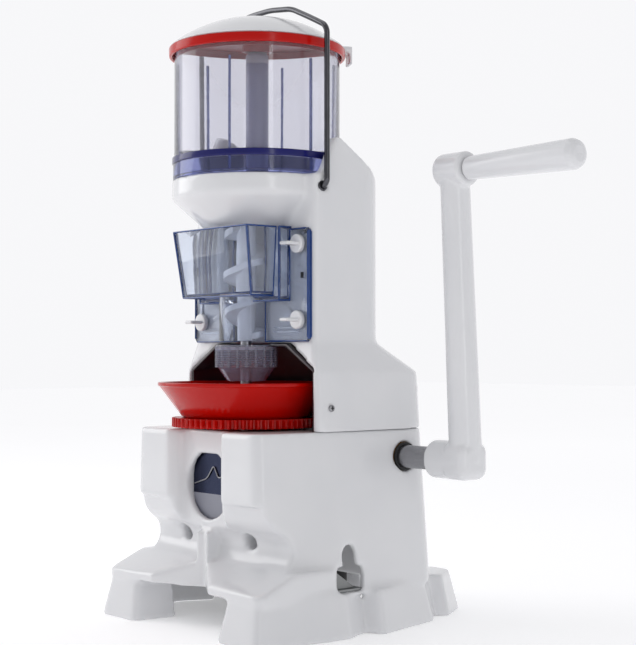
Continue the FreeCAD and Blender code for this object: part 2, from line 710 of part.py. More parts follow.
turned("post_cap", [
    ("0", "collar_top + hopper_height - post_short"), ("post_radius", "collar_top + hopper_height - post_short"),
    ("post_radius", "collar_top + hopper_height - post_short + 7"), ("post_radius - 2.5", "collar_top + hopper_height - post_short + 10"),
    ("0", "collar_top + hopper_height - post_short + 10")])

# Bowl group: bowl, toothed ring, spindle, auger with its blades
turned("bowl", [
    ("spindle_radius", "deck_top + gear_gap"), ("12", "deck_top + gear_gap"),
    ("12", "deck_top + gear_gap + gear_face"), ("bowl_foot", "deck_top + gear_gap + gear_face"),
    ("bowl_radius", "bowl_rim"), ("bowl_radius - bowl_wall", "bowl_rim"),
    ("bowl_foot - bowl_wall", "deck_top + gear_gap + gear_face + bowl_wall"),
    ("12", "deck_top + gear_gap + gear_face + bowl_wall"), ("9", "deck_top + gear_gap + gear_face + 12"),
    ("spindle_radius", "deck_top + gear_gap + gear_face + 12")], y="feed_y")
gear_low = deck + size("gear_gap")
shaped("bowl_ring", spur(int(size("ring_teeth")), 90, feed, gear_low, size("bowl_foot") - 8))
label(cylinder("spindle_radius", "auger_top + 2 - 58", "0", "feed_y", "58"), "spindle")


def auger():
    """Screw feeder: a core with one square-edged helical flight."""
    core = Part.makeCylinder(size("auger_core"), size("auger_top") - size("auger_low"), V(0, 0, 0))
    pitch = size("auger_pitch")
    steps = 24
    length = size("auger_top") - size("auger_low") - 8
    count = int(length / pitch * steps)
    thick = 5
    inner = size("auger_core") - 2
    outer = size("auger_radius")
    sections = []
    for i in range(count + 1):
        angle = 2 * math.pi * i / steps
        z = 1 + pitch * i / steps
        along = V(math.cos(angle), math.sin(angle), 0)
        corners = [along * inner + UP * z, along * outer + UP * z,
                   along * outer + UP * (z + thick), along * inner + UP * (z + thick)]
        sections.append(Part.makePolygon(corners + corners[:1]))
    flight = Part.makeLoft(sections, True, True)
    screw = core.fuse(flight)
    screw = screw.cut(Part.makeCylinder(size("spindle_radius"), 200, V(0, 0, -20)))
    screw.translate(V(0, feed, size("auger_low")))
    return screw


shaped("auger", auger())
blades = []
for turn in (0, 180):
    blade = slab([(6, 0), (17, 0), (17, 3), (6, 6)], "XZ", -0.6, 1.2)
    blade.rotate(V(), UP, turn)
    blade.translate(V(0, feed, size("nozzle_tip") + 16))
    blades.append(blade)
hub = Part.makeCylinder(8, 8, V(0, feed, size("nozzle_tip") + 15))
hub = hub.fuse(blades).cut(Part.makeCylinder(size("spindle_radius"), 40, V(0, feed, size("nozzle_tip"))))
shaped("shaving_blades", hub)

# Lay shaft group
label(cylinder("spindle_radius", "deck_top + gear_gap + gear_face + 1 - 97", "0", LAY_Y, "97"), "lay_shaft")
gap_phase = -90 + 180.0 / size("pinion_teeth")
shaped("pinion", spur(int(size("pinion_teeth")), gap_phase, lay_y, gear_low, size("spindle_radius")))
lay_bevel = bevel(180.0 / size("bevel_teeth"))
lay_bevel.translate(V(0, lay_y, crank_z))
shaped("lay_bevel", lay_bevel.cut(rod(size("spindle_radius"), V(0, lay_y, 90), V(0, lay_y, 200))))

# Crank group: its bevel has a tooth where the lay bevel has a gap
crank_bevel = bevel(180)
crank_bevel.rotate(V(), V(0, 1, 0), -90)
crank_bevel.translate(V(0, lay_y, crank_z))
seat = size("spindle_radius") + 1
shaped("crank_bevel", crank_bevel.cut(rod(seat, V(-30, lay_y, crank_z), V(60, lay_y, crank_z))))
inner_end = size("bevel_module") * size("bevel_teeth") / 2 - size("bevel_face") + 0.5
label(fuse(along_x("spindle_radius + 1", "40", str(inner_end), LAY_Y, "crank_z"),
           along_x("shaft_radius", "shaft_end - 30", "30", LAY_Y, "crank_z")), "crank_shaft")

lean = math.radians(size("crank_lean"))
arm_x = size("arm_x")
foot = V(arm_x, lay_y, crank_z)
head = foot + V(0, -math.sin(lean), math.cos(lean)) * size("crank_throw")


def crank_arm():
    near = size("hub_near")
    radius = size("hub_radius")
    arm = size("arm_radius")
    hub = Part.makeCylinder(radius, arm_x - near, V(near, lay_y, crank_z), V(1, 0, 0))
    block_size = 2 * radius - 1
    elbow = Part.makeBox(radius + arm - 1, block_size, block_size,
                         V(arm_x - radius, lay_y - block_size / 2, crank_z - block_size / 2))
    elbow = elbow.makeFillet(size("elbow_round"), elbow.Edges)
    stem = Part.makeCone(arm, arm - 1.5, size("crank_throw"), foot, head - foot)
    cap = Part.makeCylinder(arm + 0.5, 31, head - V(15, 0, 0), V(1, 0, 0))
    cap = cap.makeFillet(5, [e for e in cap.Edges if e.Length > 2 * arm and e.CenterOfMass.x < head.x])
    body = hub.fuse([elbow, stem, cap])
    body = body.cut(rod(size("shaft_radius"), V(near - 5, lay_y, crank_z), V(size("shaft_end"), lay_y, crank_z)))
    body = body.cut(rod(4, head - V(10, 0, 0), head + V(40, 0, 0)))
    return body.cut(rod(2.5, V(near + 6, lay_y, crank_z), V(near + 6, lay_y, crank_z - 40)))


shaped("crank_arm", crank_arm())
shaped("crank_set_screw", rod(2.5, V(size("hub_near") + 6, lay_y, crank_z - size("shaft_radius")),
                              V(size("hub_near") + 6, lay_y, crank_z - size("hub_radius") + 0.5)))
grip_start = head.x + 17.5
pin = rod(4, head - V(10, 0, 0), V(grip_start + size("grip_length") - 8, head.y, head.z))
shaped("grip_pin", pin)


def grip():
    length = size("grip_length")
    big = size("grip_radius")
    handle = Part.makeCone(big - 2.5, big, length, V(grip_start, head.y, head.z), V(1, 0, 0))
    handle = handle.makeFillet(5, [e for e in handle.Edges if e.CenterOfMass.x > grip_start + length - 1])
    return handle.cut(rod(4 + fit, V(grip_start - 5, head.y, head.z),
                          V(grip_start + length - 7.5, head.y, head.z)))


shaped("grip", grip())

# Lid group
turned("lid_ring", [
    ("lid_radius - 2.6", HOPPER_TOP + " - lid_band + 4"), ("lid_radius + 0.6", HOPPER_TOP + " - lid_band + 4"),
    ("lid_radius + 0.6", HOPPER_TOP + " + 4"), ("lid_radius - 2.6", HOPPER_TOP + " + 4")])


def lid_dome():
    """Shallow dome on a short rim, with a lift tab at the back right."""
    rim = size("lid_radius")
    low = collar + size("hopper_height") + 4.05
    rise = size("lid_dome")
    ball = (rim ** 2 + rise ** 2) / (2 * rise)
    thick = size("lid_wall")
    centre = V(0, 0, low + 1 + rise - ball)
    room = Part.makeCylinder(rim, rise + 10, V(0, 0, low))
    outer = Part.makeSphere(ball, centre).common(room)
    inner = Part.makeSphere(ball - thick, centre).common(Part.makeCylinder(rim - thick, rise + 12, V(0, 0, low - 1)))
    tab = Part.makeBox(12, 16, 6, V(rim - 4, -8, low))
    tab = tab.fuse(Part.makeBox(3, 16, 17, V(rim + 5, -8, low - 11)))
    tab.rotate(V(), UP, 62)
    return outer.fuse(tab).cut(inner)


shaped("lid_dome", lid_dome())
turned("lid_liner", [
    ("0", HOPPER_TOP + " + 0.3"), ("post_radius + 0.5", HOPPER_TOP + " + 0.3"),
    ("post_radius + 0.5", HOPPER_TOP + " - 5"),
    ("post_radius + 3", HOPPER_TOP + " - 5"), ("post_radius + 3", HOPPER_TOP + " + 0.3"),
    ("hopper_radius - 8", HOPPER_TOP + " + 0.3"), ("hopper_radius - 8", HOPPER_TOP + " - 6"),
    ("hopper_radius - 6", HOPPER_TOP + " - 6"), ("hopper_radius - 6", HOPPER_TOP + " + 0.3"),
    ("lid_radius - 2.65", HOPPER_TOP + " + 0.3"), ("lid_radius - 2.65", HOPPER_TOP + " + 2.3"),
    ("0", HOPPER_TOP + " + 2.3")])

# Bail: a bent wire from eye to eye, and its two eyelets
pivot_z = collar - size("bail_pivot_drop")
pivot_y = size("bail_pivot_y")


def bent_wire(points, bend):
    """Centre line through points with an arc of the given radius at each inner point."""
    edges = []
    start = points[0]
    for before, corner, after in zip(points, points[1:], points[2:]):
        back = (before - corner).normalize()
        ahead = (after - corner).normalize()
        half = back.getAngle(ahead) / 2
        reach = bend / math.tan(half)
        middle = (back + ahead).normalize()
        centre = corner + middle * (bend / math.sin(half))
        first = corner + back * reach
        last = corner + ahead * reach
        edges.append(Part.makeLine(start, first))
        edges.append(Part.Arc(first, centre - middle * bend, last).toShape())
        start = last
    edges.append(Part.makeLine(start, points[-1]))
    return Part.Wire(edges)


def bail():
    side = size("bail_side")
    top = pivot_z + size("bail_reach")
    half = [V(82, 0, pivot_z), V(side, 0, pivot_z), V(side, 0, top - 27), V(72, 0, top - 17), V(44, 0, top - 4),
            V(14, 0, top)]
    points = half + [V(-p.x, 0, p.z) for p in reversed(half)]
    for p in points:
        p.y = pivot_y
    path = bent_wire(points, 5)
    ring = Part.Wire(Part.makeCircle(size("wire_radius"), points[0], V(1, 0, 0)))
    return path.makePipeShell([ring], True, False)


shaped("bail", bail())
group("bail_eyelets", [
    cut(along_x("4.5", "7", x, "bail_pivot_y", "collar_top - bail_pivot_drop"),
        along_x("wire_radius + running_gap", "30", x + " - 10", "bail_pivot_y", "collar_top - bail_pivot_drop"))
    for x in ("80", "-87")])


# Thumb screws: disc, flat tab to the front, plain stud into the column
def thumb_screw(x, z):
    face = size("column_front") - size("flange_thick") - 0.15
    disc = rod(8, V(x, face, z), V(x, face - 4, z))
    disc = disc.makeFillet(1.2, [e for e in disc.Edges if e.Length > 40 and e.CenterOfMass.y < face - 1])
    tab = Part.makeBox(11, 14, 3, V(x - 5.5, face - 17, z - 1.5))
    tab = tab.makeFillet(1.2, tab.Edges)
    return disc.fuse([tab, rod(2.55, V(x, face - 1, z), V(x, face + 14, z))])


names = iter(("thumb_screw_1", "thumb_screw_2", "thumb_screw_3", "thumb_screw_4"))
for z in (size("screw_high"), size("screw_low")):
    for x in (-size("screw_x"), size("screw_x")):
        shaped(next(names), thumb_screw(x, z))

doc.recompute()
for thing in doc.Objects:
    for state in ("Invalid", "Error"):
        if state in thing.State:
            raise RuntimeError("%s is %s" % (thing.Label, state))
os.makedirs("parts", exist_ok=True)
for name, thing in nodes.items():
    if thing.Shape.isNull() or not thing.Shape.isValid() or not thing.Shape.Solids:
        raise RuntimeError("%s has no valid shape" % name)
for name, thing in nodes.items():
    thing.Shape.exportStep(os.path.join("parts", name + ".step"))
print("wrote %d nodes" % len(nodes))
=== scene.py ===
import json
import math

import bmesh
import bpy
from bpy.props import FloatProperty, FloatVectorProperty, IntProperty, PointerProperty
from bpy.types import Operator, Panel, PropertyGroup
from mathutils import Matrix, Vector


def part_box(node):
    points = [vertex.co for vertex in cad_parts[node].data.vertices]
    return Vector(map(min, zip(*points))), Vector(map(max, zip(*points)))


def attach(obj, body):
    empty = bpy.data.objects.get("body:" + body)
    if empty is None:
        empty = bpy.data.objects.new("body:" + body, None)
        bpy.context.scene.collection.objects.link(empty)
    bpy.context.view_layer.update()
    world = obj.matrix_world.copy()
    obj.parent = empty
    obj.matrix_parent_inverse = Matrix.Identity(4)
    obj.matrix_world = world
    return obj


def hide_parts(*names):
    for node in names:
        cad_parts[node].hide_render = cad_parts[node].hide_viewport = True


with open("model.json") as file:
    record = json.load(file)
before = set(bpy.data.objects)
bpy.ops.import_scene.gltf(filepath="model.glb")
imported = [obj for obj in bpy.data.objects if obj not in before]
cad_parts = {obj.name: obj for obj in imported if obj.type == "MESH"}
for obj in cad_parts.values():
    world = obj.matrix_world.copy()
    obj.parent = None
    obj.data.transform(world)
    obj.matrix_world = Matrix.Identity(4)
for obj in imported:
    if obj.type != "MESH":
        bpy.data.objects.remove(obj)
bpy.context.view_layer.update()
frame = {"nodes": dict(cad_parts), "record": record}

bl_info = {
    "name": "Shaved ice machine",
    "version": (1, 0, 0),
    "blender": (4, 5, 0),
    "location": "View3D > Sidebar > Ice Machine",
    "description": "Moulded shells, clear parts and finishes round the packed frame of a shaved ice machine",
    "category": "Object",
}

MM = 0.001
FULL_TURN = 2 * math.pi


# Colours and nodes

def linear(code):
    """An sRGB hex colour such as E9E9EB as linear RGBA."""
    out = []
    for i in (0, 2, 4):
        value = int(code[i:i + 2], 16) / 255
        out.append(value / 12.92 if value <= 0.04045 else ((value + 0.055) / 1.055) ** 2.4)
    return out + [1.0]


def add_node(tree, kind, settings=None, links=None):
    """Add a shader node; settings name attributes or input sockets, links name the sockets fed by others."""
    node = tree.nodes.new(kind)
    for key, value in (settings or {}).items():
        if isinstance(key, str) and hasattr(node, key):
            setattr(node, key, value)
        else:
            node.inputs[key].default_value = value
    for key, source in (links or {}).items():
        tree.links.new(source, node.inputs[key])
    return node


def new_material(name):
    old = bpy.data.materials.get(name)
    if old:
        return old, None, None
    mat = bpy.data.materials.new(name)
    mat.use_nodes = True
    tree = mat.node_tree
    tree.nodes.clear()
    shader = add_node(tree, "ShaderNodeBsdfPrincipled")
    add_node(tree, "ShaderNodeOutputMaterial", links={"Surface": shader.outputs[0]})
    return mat, tree, shader


def noise(tree, size_mm, detail=2.0, stretch=(1, 1, 1)):
    """Noise whose features are about size_mm across, on object coordinates."""
    place = add_node(tree, "ShaderNodeTexCoord")
    turn = add_node(tree, "ShaderNodeMapping", {"Scale": stretch}, {"Vector": place.outputs["Object"]})
    return add_node(tree, "ShaderNodeTexNoise", {"Scale": 1 / (size_mm * MM), "Detail": detail},
                    {"Vector": turn.outputs[0]})


def ranged(tree, source, low, high):
    return add_node(tree, "ShaderNodeMapRange", {"To Min": low, "To Max": high}, {"Value": source.outputs[0]})


def blended(tree, source, first, second):
    mix = add_node(tree, "ShaderNodeMix", {"data_type": "RGBA"})
    sockets = [s for s in mix.inputs if s.type == "RGBA"]
    sockets[0].default_value = first
    sockets[1].default_value = second
    tree.links.new(source.outputs[0], mix.inputs["Factor"])
    return [s for s in mix.outputs if s.type == "RGBA"][0]


def moulded_plastic(name, first, second, rough, coat=0.3, peel=0.05, shine=0.5):
    """Injection-moulded plastic: faint flow tone over 45 mm, uneven gloss over 6 mm, orange peel at 1.5 mm."""
    mat, tree, shader = new_material(name)
    if not tree:
        return mat
    flow = noise(tree, 45)
    tree.links.new(blended(tree, flow, first, second), shader.inputs["Base Color"])
    gloss = ranged(tree, noise(tree, 6), rough * 0.8, rough * 1.25)
    tree.links.new(gloss.outputs[0], shader.inputs["Roughness"])
    skin = noise(tree, 1.5)
    bump = add_node(tree, "ShaderNodeBump", {"Strength": peel, "Distance": 0.0002}, {"Height": skin.outputs[0]})
    tree.links.new(bump.outputs[0], shader.inputs["Normal"])
    shader.inputs["IOR"].default_value = 1.53
    shader.inputs["Coat Weight"].default_value = coat
    shader.inputs["Specular IOR Level"].default_value = shine
    shader.inputs["Coat Roughness"].default_value = 0.06
    return mat


def white_abs():
    # Glossy white ABS: nearly even white with soft, slightly wavy reflections.
    look = bpy.context.scene.ice_finish
    return moulded_plastic("moulded_white_abs", list(look.shell_white) + [1], linear("DCDDE0"), look.shell_roughness)


def red_abs():
    # Glossy red ABS of the bowl and lid band: deep tone, sharp highlights.
    look = bpy.context.scene.ice_finish
    return moulded_plastic("moulded_red_abs", list(look.bowl_red) + [1], linear("AE0802"), 0.2, 0.1, 0.04, 0.18)


def dark_red_abs():
    # Dark red lid liner, seen through the hopper.
    return moulded_plastic("moulded_dark_red_abs", linear("A3141A"), linear("8E1015"), 0.3, 0.0, 0.05, 0.2)


def maroon_abs():
    # Nearly black maroon splash liner with a satin, faintly mottled skin.
    return moulded_plastic("satin_maroon_abs", linear("2C1921"), linear("231419"), 0.3, 0.15, 0.1)


def navy_abs():
    # Navy ring: almost black, bluish where light catches it.
    return moulded_plastic("moulded_navy_abs", linear("0A0F66"), linear("070B4C"), 0.18, 0.2, 0.05, 0.3)


def grey_blue_plastic():
    # Translucent-looking blue grey tube, smooth and a little waxy.
    return moulded_plastic("blue_grey_acetal", linear("7A7C9C"), linear("686A8C"), 0.3)


def grey_plastic():
    # Light grey bearing can and pinion.
    return moulded_plastic("light_grey_nylon", linear("8B8D99"), linear("7C7E8B"), 0.35, 0.1, 0.12)


def frost_plastic():
    # Paler cap on the post.
    return moulded_plastic("pale_grey_acetal", linear("9C9AA6"), linear("8D8B99"), 0.35)


def clear_plastic(name, tint, edge, rough=0.03, clarity=0.95):
    """Clear moulded plastic: tint deepens where it is seen edge on; daylight passes to what is behind it."""
    mat, tree, shader = new_material(name)
    if not tree:
        return mat
    facing = add_node(tree, "ShaderNodeLayerWeight", {"Blend": 0.4})
    rim = add_node(tree, "ShaderNodeMapRange", {"From Min": 0.45, "From Max": 0.95},
                   {"Value": facing.outputs["Facing"]})
    tree.links.new(blended(tree, rim, tint, edge), shader.inputs["Base Color"])
    shader.inputs["Transmission Weight"].default_value = clarity
    shader.inputs["IOR"].default_value = 1.4
    haze = ranged(tree, noise(tree, 8), rough * 0.5, rough * 1.5)
    tree.links.new(haze.outputs[0], shader.inputs["Roughness"])
    ripple = noise(tree, 12)
    bump = add_node(tree, "ShaderNodeBump", {"Strength": 0.08, "Distance": 0.0004}, {"Height": ripple.outputs[0]})
    tree.links.new(bump.outputs[0], shader.inputs["Normal"])
    passed = add_node(tree, "ShaderNodeBsdfTransparent", {"Color": tint})
    path = add_node(tree, "ShaderNodeLightPath")
    either = add_node(tree, "ShaderNodeMixShader", links={0: path.outputs["Is Shadow Ray"], 1: shader.outputs[0],
                                                          2: passed.outputs[0]})
    output = next(n for n in tree.nodes if n.type == "OUTPUT_MATERIAL")
    tree.links.new(either.outputs[0], output.inputs["Surface"])
    return mat


def hopper_clear():
    # Polycarbonate with a faint violet-grey cast.
    return clear_plastic("clear_polycarbonate", list(bpy.context.scene.ice_finish.hopper_tint) + [1],
                         linear("77789C"))


def chute_clear():
    # Pale blue polycarbonate sheet of the chute.
    return clear_plastic("blue_polycarbonate", list(bpy.context.scene.ice_finish.chute_tint) + [1],
                         linear("2A4FA0"), clarity=0.97)


def edge_clear():
    # Cut and folded edges, where the light runs in the sheet and comes out deep blue.
    return moulded_plastic("blue_polycarbonate_edge", linear("0E2F6E"), linear("1D4688"), 0.15)


def nozzle_ring_painted_highlight():
    # Painted highlight on the nozzle's thread and flutes: a pale copy of its plastic laid on the slopes that face
    # one way, so the rings read as lit bands.
    return moulded_plastic("polycarbonate_painted_ring_highlight", linear("C4C7D6"), linear("8A8EA6"), 0.2)


def foot_clear():
    # Thick foot of the hopper: the same plastic seen edge on, a deep clear blue.
    return clear_plastic("polycarbonate_foot", linear("8D95C8"), linear("3A4488"), 0.05)


def rib_clear():
    # Thick ribs of the hopper, which gather the tint and read as dark blue lines.
    return clear_plastic("polycarbonate_rib", linear("4A5690"), linear("20285C"), 0.1)


def metal(name, first, second, rough, stretch, grain_mm=0.8, coat=0.0):
    """Worked metal: fine grain stretched along the tool's path, and small tone changes."""
    mat, tree, shader = new_material(name)
    if not tree:
        return mat
    shader.inputs["Metallic"].default_value = 1.0
    shader.inputs["Coat Weight"].default_value = coat
    grain = noise(tree, grain_mm, 3, stretch)
    tree.links.new(blended(tree, grain, first, second), shader.inputs["Base Color"])
    gloss = ranged(tree, grain, rough * 0.7, rough * 1.4)
    tree.links.new(gloss.outputs[0], shader.inputs["Roughness"])
    bump = add_node(tree, "ShaderNodeBump", {"Strength": 0.12, "Distance": 0.0001}, {"Height": grain.outputs[0]})
    tree.links.new(bump.outputs[0], shader.inputs["Normal"])
    return mat


def turned_steel():
    # Turned steel shaft: fine rings round the axis, grey with a broad highlight.
    return metal("turned_steel", linear("A9A9AC"), linear("87878B"), 0.28, (6, 0.4, 0.4))


def rolled_steel():
    # Zinc-plated sheet brackets: soft grey with a long grain.
    return metal("rolled_zinc_steel", linear("A5A6A6"), linear("7D7F80"), 0.35, (0.6, 0.6, 5))


def plated_wire_painted_reflection():
    # Bright nickel-chrome plated wire, its base colour painted dark with dark and bright streaks along it: painted
    # reflection of dark and bright surroundings in the chrome.
    return metal("chrome_wire_painted_reflection", linear("5C5C62"), linear("2E2E33"), 0.1, (1, 1, 0.15), 1.5, 0.7)


def steel_painted_dark_reflection():
    # Steel sleeve round the bearing, and the upper part of the window plate: nearly black with a blue cast, a
    # painted reflection of dark surroundings in polished steel.
    return metal("steel_painted_dark_reflection", linear("3A4058"), linear("1C2034"), 0.22, (0.5, 0.5, 3), 1.2)


def bronze():
    # Sintered bronze bushes: matt, grainy and brown gold.
    return metal("sintered_bronze", linear("9A7443"), linear("6E5230"), 0.45, (1, 1, 1), 0.4)


def rubber():
    # Nitrile rubber: black, matt, very slightly pitted. The screw heads also use it as painted shade in their cross
    # recesses.
    return moulded_plastic("nitrile_rubber_and_recess_shade", linear("0E0E10"), linear("161618"), 0.6, 0.0, 0.3)


def white_acetal():
    # White feed screw behind the clear chute.
    return moulded_plastic("white_acetal", linear("EDEEF2"), linear("E1E3EA"), 0.3)


# Geometry

def finish_piece(name, bm, mats, body, nodes=(), smooth_angle=35, modifiers=()):
    """Turn a bmesh into a named object that rides on a body and may stand for CAD nodes."""
    mesh = bpy.data.meshes.new(name)
    bm.to_mesh(mesh)
    bm.free()
    for polygon in mesh.polygons:
        polygon.use_smooth = True
    mesh.set_sharp_from_angle(angle=math.radians(smooth_angle))
    piece = bpy.data.objects.new(name, mesh)
    bpy.context.scene.collection.objects.link(piece)
    for mat in mats:
        mesh.materials.append(mat)
    for kind, settings in modifiers:
        modifier = piece.modifiers.new(kind.title(), kind)
        for key, value in settings.items():
            setattr(modifier, key, value)
    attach(piece, body)
    if nodes:
        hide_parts(*nodes)
    return piece


def merged_copy(node):
    """A bmesh copy of a CAD node with its loose triangles joined and flat faces made whole."""
    bm = bmesh.new()
    bm.from_mesh(frame["nodes"][node].data)
    bmesh.ops.remove_doubles(bm, verts=bm.verts[:], dist=0.01 * MM)
    bmesh.ops.dissolve_limit(bm, angle_limit=math.radians(1.0), verts=bm.verts[:], edges=bm.edges[:])
    return bm


def body_of(node):
    return next(body for body, members in frame["record"]["behaviour"]["bodies"].items() if node in members)


def sharp_edges(bm, degrees):
    limit = math.radians(degrees)
    return [e for e in bm.edges if len(e.link_faces) == 2 and e.calc_face_angle(0) > limit]


def moulded_shell(name, node, mat, voxel_mm, rounds):
    """Rebuild a CAD shell as one skin with soft moulded edges and blended corners."""
    modifiers = [
        ("REMESH", {"mode": "VOXEL", "voxel_size": voxel_mm * MM, "use_smooth_shade": True}),
        ("SMOOTH", {"factor": 0.5, "iterations": rounds}),
    ]
    return finish_piece(name, merged_copy(node), [mat], body_of(node), [node], 180, modifiers)


def softened(name, node, mat, width_mm, segments=2, angle=35):
    """A CAD piece with its sharp edges broken, as a tool or a mould leaves them."""
    bm = merged_copy(node)
    edges = sharp_edges(bm, angle)
    bmesh.ops.bevel(bm, geom=edges, offset=width_mm * MM, offset_type="OFFSET", segments=segments, affect="EDGES",
                    profile=0.5, material=-1, clamp_overlap=True)
    return finish_piece(name, bm, [mat], body_of(node), [node])


def lathe(points_mm, axis=(0, 0), rounding=0.6, steps=96, closed=True):
    """Spin an outline of (radius, height) points about an upright axis."""
    bm = bmesh.new()
    verts = [bm.verts.new((radius * MM, 0, height * MM)) for radius, height in points_mm]
    pairs = list(zip(verts, verts[1:]))
    if closed:
        pairs.append((verts[-1], verts[0]))
    for pair in pairs:
        bm.edges.new(pair)
    corners = verts if closed else verts[1:-1]
    if rounding:
        bmesh.ops.bevel(bm, geom=corners, offset=rounding * MM, offset_type="OFFSET", segments=3,
                        affect="VERTICES", profile=0.5, material=-1, clamp_overlap=True)
    bmesh.ops.spin(bm, geom=bm.verts[:] + bm.edges[:], cent=(0, 0, 0), axis=(0, 0, 1), angle=FULL_TURN,
                   steps=steps, use_merge=True)
    bmesh.ops.remove_doubles(bm, verts=bm.verts[:], dist=0.005 * MM)
    bmesh.ops.recalc_face_normals(bm, faces=bm.faces[:])
    bmesh.ops.translate(bm, verts=bm.verts[:], vec=Vector((axis[0] * MM, axis[1] * MM, 0)))
    return bm


def aim(bm, direction, origin_mm):
    """Turn a lathed piece from +Z to a direction and move it to a place."""
    turn = Vector((0, 0, 1)).rotation_difference(Vector(direction)).to_matrix().to_4x4()
    bmesh.ops.transform(bm, matrix=Matrix.Translation(Vector(origin_mm) * MM) @ turn, verts=bm.verts[:])
    return bm


def wire(points_mm, radius_mm, bend_mm, closed=False):
    """A round wire through points with rounded bends, as a bmesh."""
    bm = bmesh.new()
    verts = [bm.verts.new(Vector(p) * MM) for p in points_mm]
    for pair in zip(verts, verts[1:]):
        bm.edges.new(pair)
    bmesh.ops.bevel(bm, geom=verts[1:-1], offset=bend_mm * MM, offset_type="OFFSET", segments=8, affect="VERTICES",
                    profile=0.5, material=-1, clamp_overlap=True)
    mesh = bpy.data.meshes.new("wire_path")
    bm.to_mesh(mesh)
    bm.free()
    path = bpy.data.objects.new("wire_path", mesh)
    bpy.context.scene.collection.objects.link(path)
    with bpy.context.temp_override(object=path, active_object=path, selected_objects=[path],
                                   selected_editable_objects=[path]):
        path.select_set(True)
        bpy.context.view_layer.objects.active = path
        bpy.ops.object.convert(target="CURVE")
    path = bpy.context.view_layer.objects.active
    path.data.bevel_depth = radius_mm * MM
    path.data.bevel_resolution = 5
    path.data.use_fill_caps = True
    depsgraph = bpy.context.evaluated_depsgraph_get()
    solid = bpy.data.meshes.new_from_object(path.evaluated_get(depsgraph))
    out = bmesh.new()
    out.from_mesh(solid)
    bpy.data.objects.remove(path)
    bmesh.ops.remove_doubles(out, verts=out.verts[:], dist=0.005 * MM)
    bmesh.ops.recalc_face_normals(out, faces=out.faces[:])
    return out


def centre_mm(node):
    low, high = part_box(node)
    return [(a + b) / 2 / MM for a, b in zip(low, high)]


def low_mm(node):
    return [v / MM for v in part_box(node)[0]]


def high_mm(node):
    return [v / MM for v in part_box(node)[1]]


# Sizes and colours that a user would change

class IceFinish(PropertyGroup):
    shell_white: FloatVectorProperty(name="Shell white", description="Colour of the white housings",
                                     subtype="COLOR", size=3, default=linear("E4E4E6")[:3])
    shell_roughness: FloatProperty(name="Shell roughness", description="Gloss of the white housings",
                                   subtype="FACTOR", min=0, max=1, default=0.2)
    bowl_red: FloatVectorProperty(name="Bowl red", description="Colour of the bowl and the lid band",
                                  subtype="COLOR", size=3, default=linear("BE0A02")[:3])
    hopper_tint: FloatVectorProperty(name="Hopper tint", description="Tint of the hopper's plastic",
                                     subtype="COLOR", size=3, default=linear("ECECF2")[:3])
    chute_tint: FloatVectorProperty(name="Chute tint", description="Tint of the chute's plastic",
                                    subtype="COLOR", size=3, default=linear("E8EDF6")[:3])


class IceSizes(PropertyGroup):
    shell_voxel: FloatProperty(name="Shell mesh size", description="Mesh size of the moulded shells, in mm",
                               min=1, max=6, default=2.0)
    shell_rounding: IntProperty(name="Shell rounding", description="How far the shells' edges are rounded",
                                min=1, max=40, default=12)
    edge_width: FloatProperty(name="Chute edge", description="Width of the chute's coloured edges, in mm",
                              min=0.2, max=4, default=2.6)
    flute_count: IntProperty(name="Nozzle flutes", description="Upright flutes round the nozzle",
                             min=6, max=40, default=20)
    thread_pitch: FloatProperty(name="Nozzle thread", description="Spacing of the nozzle's rings, in mm",
                                min=0.8, max=5, default=1.9)


# Pieces

class PieceOperator:
    bl_options = {"REGISTER", "UNDO"}

    def execute(self, context):
        self.make(context.scene.ice_sizes)
        return {"FINISHED"}


class ICE_OT_housings(PieceOperator, Operator):
    """Base and column housings as soft moulded shells, with their rear covers"""
    bl_idname = "ice.housings"
    bl_label = "Housings"

    def make(self, sizes):
        white = white_abs()
        for node in ("base_housing", "column_housing"):
            moulded_shell(node + "_shell", node, white, sizes.shell_voxel, sizes.shell_rounding)
        for node in ("rear_cover", "gear_cover"):
            softened(node + "_moulding", node, white, 0.8)
        softened("splash_liner_moulding", "splash_liner", maroon_abs(), 0.3)


